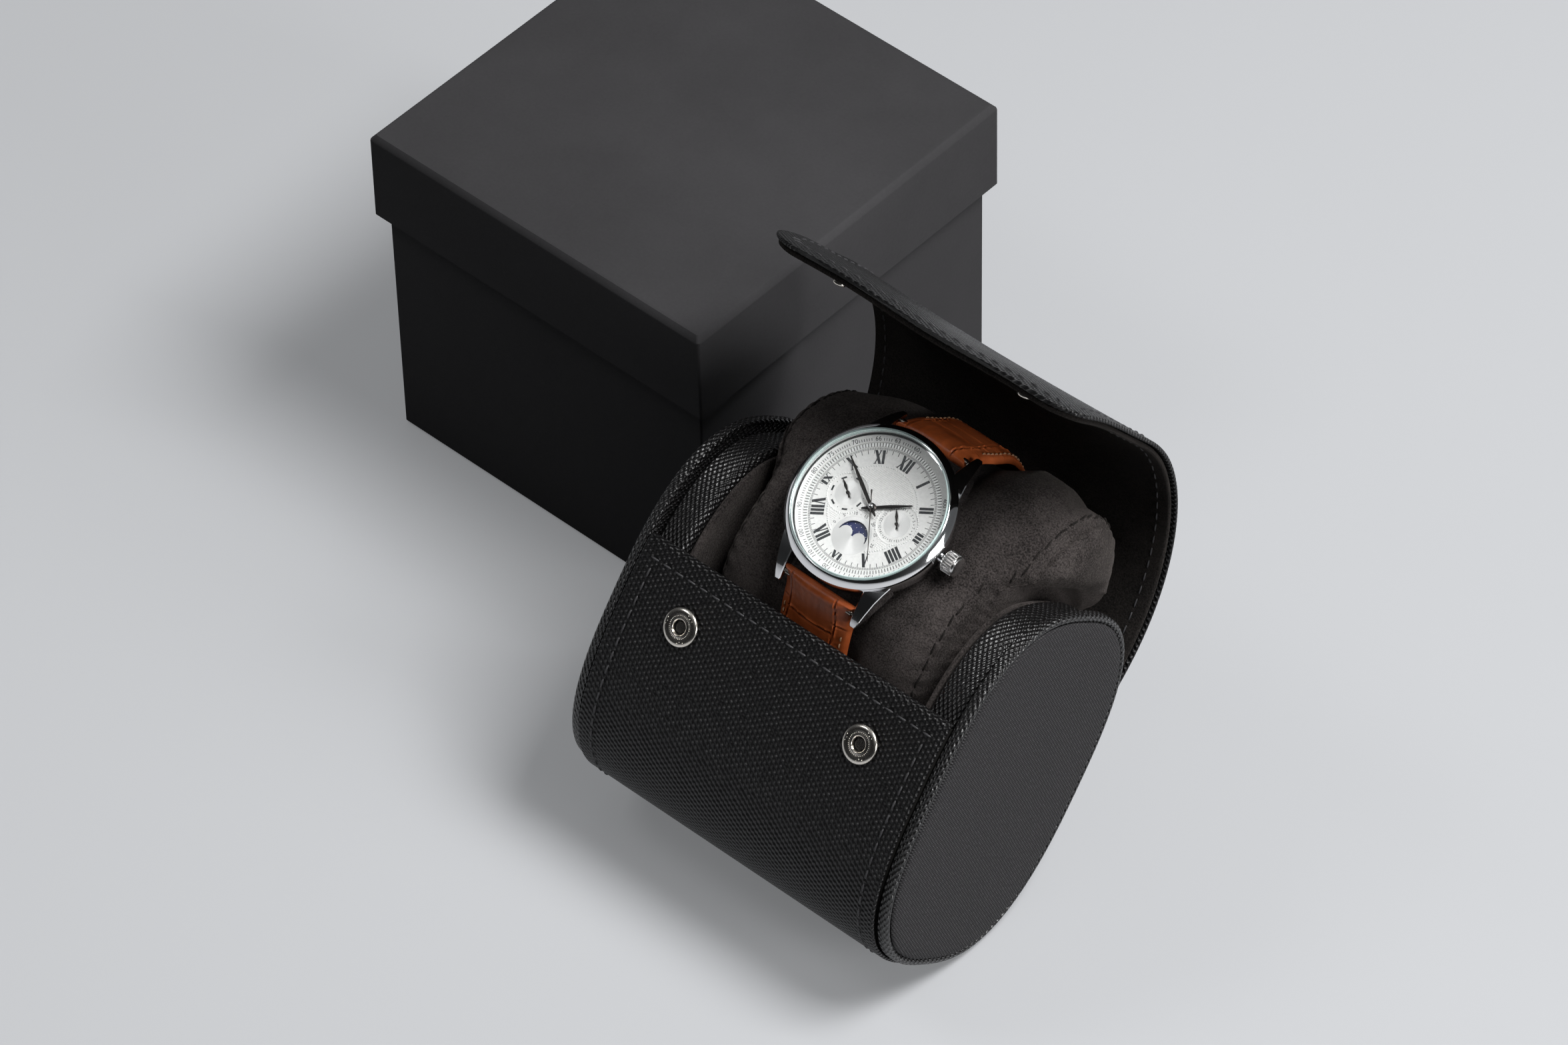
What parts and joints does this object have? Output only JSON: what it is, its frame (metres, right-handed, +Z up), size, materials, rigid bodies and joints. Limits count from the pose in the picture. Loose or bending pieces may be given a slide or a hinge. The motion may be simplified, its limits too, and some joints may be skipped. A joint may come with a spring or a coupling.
{
  "type": "watch gift box",
  "caption": "Gift set: lift-off-lid carton beside an open snap-flap leather watch roll, with a moon-phase dress watch strapped round the roll's removable cushion.",
  "frame": {"origin": "middle of the carton's underside", "axes": "+Z up, +X along the roll's length from the carton to the roll, -Y towards the side of the roll with the snaps"},
  "size_m": [0.2186, 0.1707, 0.1447],
  "materials": {
    "black_paper": "soft matt laminated paper over grey board",
    "black_leather": "cross-hatched saffiano grain",
    "grey_leather": "smooth matt grey-black",
    "stiffener_board": "plain board",
    "dark_suede": "short nap suede",
    "nickel": "plated, polished",
    "polished_steel": "mirror polished",
    "movement_metal": "satin",
    "crystal_glass": "clear mineral glass",
    "silver_dial": "satin silver-white",
    "dark_hand": "dark polished",
    "moon_disc_blue": "printed navy",
    "brown_leather": "croc-embossed, semi-gloss"
  },
  "bodies": {
    "base": {"carton_tray": "black_paper", "cover_leather": "black_leather", "cover_board": "stiffener_board", "cover_lining": "dark_suede", "end_block_left": "black_leather", "end_block_right": "black_leather", "end_lining_left": "dark_suede", "end_lining_right": "dark_suede", "end_panel_left": "grey_leather", "end_panel_right": "grey_leather", "snap_socket_left": "nickel", "snap_socket_right": "nickel", "snap_rivet_left": "nickel", "snap_rivet_right": "nickel", "cushion": "dark_suede", "watch_case": "polished_steel", "watch_bezel": "polished_steel", "watch_crystal": "crystal_glass", "chapter_ring": "silver_dial", "watch_dial": "silver_dial", "watch_movement": "movement_metal", "watch_case_back": "polished_steel", "spring_bar_lower": "polished_steel", "spring_bar_upper": "polished_steel", "strap_long": "brown_leather", "strap_short": "brown_leather", "buckle_frame": "polished_steel", "buckle_bar": "polished_steel", "keeper_fixed": "brown_leather"},
    "carton_lid": {"carton_lid": "black_paper"},
    "flap_base": {"flap_base_leather": "black_leather", "flap_base_lining": "dark_suede"},
    "flap_tip": {"flap_tip_leather": "black_leather", "flap_tip_lining": "dark_suede", "snap_stud_left": "nickel", "snap_stud_right": "nickel"},
    "stem": {"winding_stem": "polished_steel"},
    "crown": {"crown": "polished_steel"},
    "hour_hand": {"hour_hand": "dark_hand"},
    "minute_hand": {"minute_hand": "dark_hand"},
    "second_hand": {"second_hand": "dark_hand"},
    "day_hand": {"day_hand": "dark_hand"},
    "date_hand": {"date_hand": "dark_hand"},
    "moon_disc": {"moon_disc": "moon_disc_blue"},
    "buckle_tongue": {"buckle_tongue": "polished_steel"},
    "keeper_free": {"keeper_free": "brown_leather"}
  },
  "joints": [
    {"name": "carton_lid_lift", "type": "slide", "parent": "base", "child": "carton_lid", "axis": [0, 0, 1], "range_m": [0, 0.11]},
    {"name": "flap_hinge", "type": "hinge", "parent": "base", "child": "flap_base", "pos_m": [0.1179, -0.04104, 0.03719], "axis": [1, 0, 0], "range_deg": [-85, 0]},
    {"name": "flap_bend", "type": "hinge", "parent": "flap_base", "child": "flap_tip", "pos_m": [0.1179, -0.01652, 0.10325], "axis": [1, 0, 0], "range_deg": [-60, 22]},
    {"name": "crown_pull", "type": "slide", "parent": "base", "child": "stem", "axis": [0.9981, 0.0248, -0.0558], "range_m": [0, 0.0016]},
    {"name": "crown_turn", "type": "hinge", "parent": "stem", "child": "crown", "pos_m": [0.11886, -0.06654, 0.09542], "axis": [0.9981, 0.0248, -0.0558], "continuous": true},
    {"name": "minute_hand_turn", "type": "hinge", "parent": "base", "child": "minute_hand", "pos_m": [0.11905, -0.06776, 0.09815], "axis": [-0.061, 0.406, -0.9118], "continuous": true},
    {"name": "hour_hand_turn", "type": "hinge", "parent": "base", "child": "hour_hand", "pos_m": [0.11905, -0.06776, 0.09815], "axis": [-0.061, 0.406, -0.9118], "continuous": true},
    {"name": "second_hand_turn", "type": "hinge", "parent": "base", "child": "second_hand", "pos_m": [0.11905, -0.06776, 0.09815], "axis": [-0.061, 0.406, -0.9118], "continuous": true},
    {"name": "day_hand_turn", "type": "hinge", "parent": "base", "child": "day_hand", "pos_m": [0.11196, -0.06793, 0.09855], "axis": [-0.061, 0.406, -0.9118], "continuous": true},
    {"name": "date_hand_turn", "type": "hinge", "parent": "base", "child": "date_hand", "pos_m": [0.12613, -0.06758, 0.09776], "axis": [-0.061, 0.406, -0.9118], "continuous": true},
    {"name": "moon_disc_turn", "type": "hinge", "parent": "base", "child": "moon_disc", "pos_m": [0.11905, -0.07479, 0.09502], "axis": [-0.061, 0.406, -0.9118], "continuous": true},
    {"name": "buckle_tongue_turn", "type": "hinge", "parent": "base", "child": "buckle_tongue", "pos_m": [0.11567, -0.05968, 0.04138], "axis": [-0.9981, -0.0248, 0.0558], "range_deg": [0, 25]},
    {"name": "keeper_slide", "type": "slide", "parent": "base", "child": "keeper_free", "axis": [-0.0412, 0.9481, -0.3152], "range_m": [-0.001, 0.001]}
  ],
  "couplings": [
    {"joint": "hour_hand_turn", "follows": "minute_hand_turn", "ratio": 0.083333},
    {"joint": "day_hand_turn", "follows": "minute_hand_turn", "ratio": 0.0059524},
    {"joint": "date_hand_turn", "follows": "minute_hand_turn", "ratio": 0.0013441},
    {"joint": "moon_disc_turn", "follows": "minute_hand_turn", "ratio": 0.00070621}
  ]
}
